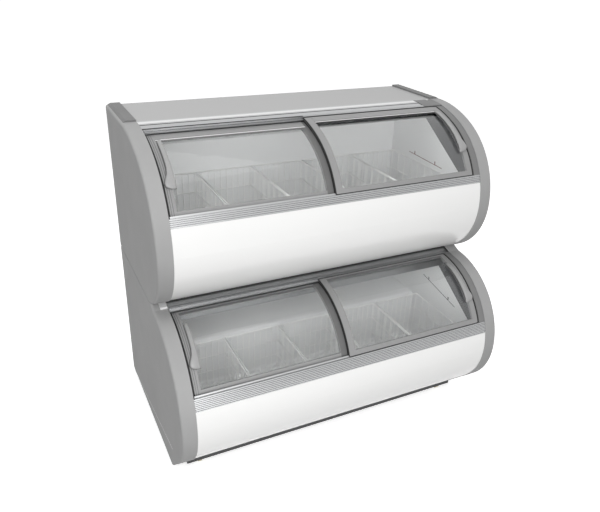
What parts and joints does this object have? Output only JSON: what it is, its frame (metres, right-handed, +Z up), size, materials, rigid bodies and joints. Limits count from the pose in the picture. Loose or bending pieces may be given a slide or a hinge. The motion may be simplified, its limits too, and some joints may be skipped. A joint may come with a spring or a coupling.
{
  "type": "display freezer",
  "caption": "Stepped chest display freezer with two curved tiers, sliding bent-glass doors, grey moulded ends, wire baskets and castors.",
  "frame": {"origin": "on the floor, under the middle of the cabinet", "axes": "+Z up, -Y towards the customer at the glass doors, +X to the customer's right"},
  "size_m": [1.3, 0.832, 1.206],
  "materials": {
    "base_metal": "satin black paint",
    "moulded_grey": "fine matt grain",
    "trim_plastic": "grained strip",
    "deck_metal": "satin light grey paint",
    "white_front": "gloss white paint",
    "rail_aluminium": "polished extrusion",
    "jamb_plastic": "fine grain",
    "cheek_plastic": "matt",
    "liner_white": "smooth",
    "foam": "rigid foam",
    "rear_metal": "galvanised grey",
    "coil_aluminium": "plain",
    "tube_copper": "copper tube",
    "black_enamel": "gloss black enamel",
    "foot_rubber": "matt",
    "fan_plastic": "matt black",
    "black_plastic": "matt black",
    "screw_steel": "plain",
    "basket_wire": "white plastic coating",
    "door_plastic": "satin grey",
    "door_glass": "clear bent glass",
    "handle_plastic": "satin grey",
    "castor_steel": "zinc plated",
    "nylon": "cream nylon"
  },
  "bodies": {
    "cabinet": {"base_frame": "base_metal", "castor_plates": "base_metal", "left_upper_cap": "moulded_grey", "right_upper_cap": "moulded_grey", "left_lower_cap": "moulded_grey", "right_lower_cap": "moulded_grey", "left_top_trim": "trim_plastic", "right_top_trim": "trim_plastic", "top_deck": "deck_metal", "upper_front_panel": "white_front", "lower_front_panel": "white_front", "upper_bottom_rail": "rail_aluminium", "lower_bottom_rail": "rail_aluminium", "upper_top_rail": "rail_aluminium", "lower_top_rail": "rail_aluminium", "upper_right_jamb": "jamb_plastic", "lower_right_jamb": "jamb_plastic", "upper_cheeks": "cheek_plastic", "lower_cheeks": "cheek_plastic", "upper_liner": "liner_white", "lower_liner": "liner_white", "upper_foam": "foam", "lower_foam": "foam", "upper_rear_panel": "rear_metal", "lower_rear_panel": "rear_metal", "machine_grille": "rear_metal", "evaporator_coils": "coil_aluminium", "condenser": "coil_aluminium", "refrigerant_lines": "tube_copper", "compressor": "black_enamel", "compressor_feet": "foot_rubber", "fan_shroud": "fan_plastic", "thermostat_housing": "black_plastic", "power_inlet": "black_plastic", "rail_screws": "screw_steel", "grille_screws": "screw_steel", "upper_baskets": "basket_wire", "lower_baskets": "basket_wire"},
    "upper_left_door": {"upper_left_door_frame": "door_plastic", "upper_left_door_glass": "door_glass", "upper_left_door_handle": "handle_plastic"},
    "upper_right_door": {"upper_right_door_frame": "door_plastic", "upper_right_door_glass": "door_glass", "upper_right_door_handle": "handle_plastic"},
    "lower_left_door": {"lower_left_door_frame": "door_plastic", "lower_left_door_glass": "door_glass", "lower_left_door_handle": "handle_plastic"},
    "lower_right_door": {"lower_right_door_frame": "door_plastic", "lower_right_door_glass": "door_glass", "lower_right_door_handle": "handle_plastic"},
    "condenser_fan": {"fan_rotor": "fan_plastic"},
    "thermostat_dial": {"thermostat_knob": "black_plastic"},
    "castor_front_left": {"castor_front_left_fork": "castor_steel"},
    "wheel_front_left": {"castor_front_left_wheel": "nylon"},
    "castor_front_right": {"castor_front_right_fork": "castor_steel"},
    "wheel_front_right": {"castor_front_right_wheel": "nylon"},
    "castor_rear_left": {"castor_rear_left_fork": "castor_steel"},
    "wheel_rear_left": {"castor_rear_left_wheel": "nylon"},
    "castor_rear_right": {"castor_rear_right_fork": "castor_steel"},
    "wheel_rear_right": {"castor_rear_right_wheel": "nylon"}
  },
  "joints": [
    {"name": "upper_left_door_slide", "type": "slide", "parent": "cabinet", "child": "upper_left_door", "axis": [1, 0, 0], "range_m": [0, 0.53]},
    {"name": "upper_right_door_slide", "type": "slide", "parent": "cabinet", "child": "upper_right_door", "axis": [1, 0, 0], "range_m": [-0.53, 0]},
    {"name": "lower_left_door_slide", "type": "slide", "parent": "cabinet", "child": "lower_left_door", "axis": [1, 0, 0], "range_m": [0, 0.53]},
    {"name": "lower_right_door_slide", "type": "slide", "parent": "cabinet", "child": "lower_right_door", "axis": [1, 0, 0], "range_m": [-0.53, 0]},
    {"name": "condenser_fan_spin", "type": "hinge", "parent": "cabinet", "child": "condenser_fan", "pos_m": [-0.23, 0.32, 0.18], "axis": [0, 1, 0], "continuous": true},
    {"name": "thermostat_turn", "type": "hinge", "parent": "cabinet", "child": "thermostat_dial", "pos_m": [0.49, 0.408, 0.21], "axis": [0, 1, 0], "range_deg": [0, 300]},
    {"name": "swivel_front_left", "type": "hinge", "parent": "cabinet", "child": "castor_front_left", "pos_m": [-0.545, -0.19998, 0.06], "axis": [0, 0, 1], "continuous": true},
    {"name": "spin_front_left", "type": "hinge", "parent": "castor_front_left", "child": "wheel_front_left", "pos_m": [-0.545, -0.21798, 0.025], "axis": [1, 0, 0], "continuous": true},
    {"name": "swivel_front_right", "type": "hinge", "parent": "cabinet", "child": "castor_front_right", "pos_m": [0.545, -0.19998, 0.06], "axis": [0, 0, 1], "continuous": true},
    {"name": "spin_front_right", "type": "hinge", "parent": "castor_front_right", "child": "wheel_front_right", "pos_m": [0.545, -0.21798, 0.025], "axis": [1, 0, 0], "continuous": true},
    {"name": "swivel_rear_left", "type": "hinge", "parent": "cabinet", "child": "castor_rear_left", "pos_m": [-0.545, 0.362, 0.06], "axis": [0, 0, 1], "continuous": true},
    {"name": "spin_rear_left", "type": "hinge", "parent": "castor_rear_left", "child": "wheel_rear_left", "pos_m": [-0.545, 0.344, 0.025], "axis": [1, 0, 0], "continuous": true},
    {"name": "swivel_rear_right", "type": "hinge", "parent": "cabinet", "child": "castor_rear_right", "pos_m": [0.545, 0.362, 0.06], "axis": [0, 0, 1], "continuous": true},
    {"name": "spin_rear_right", "type": "hinge", "parent": "castor_rear_right", "child": "wheel_rear_right", "pos_m": [0.545, 0.344, 0.025], "axis": [1, 0, 0], "continuous": true}
  ]
}
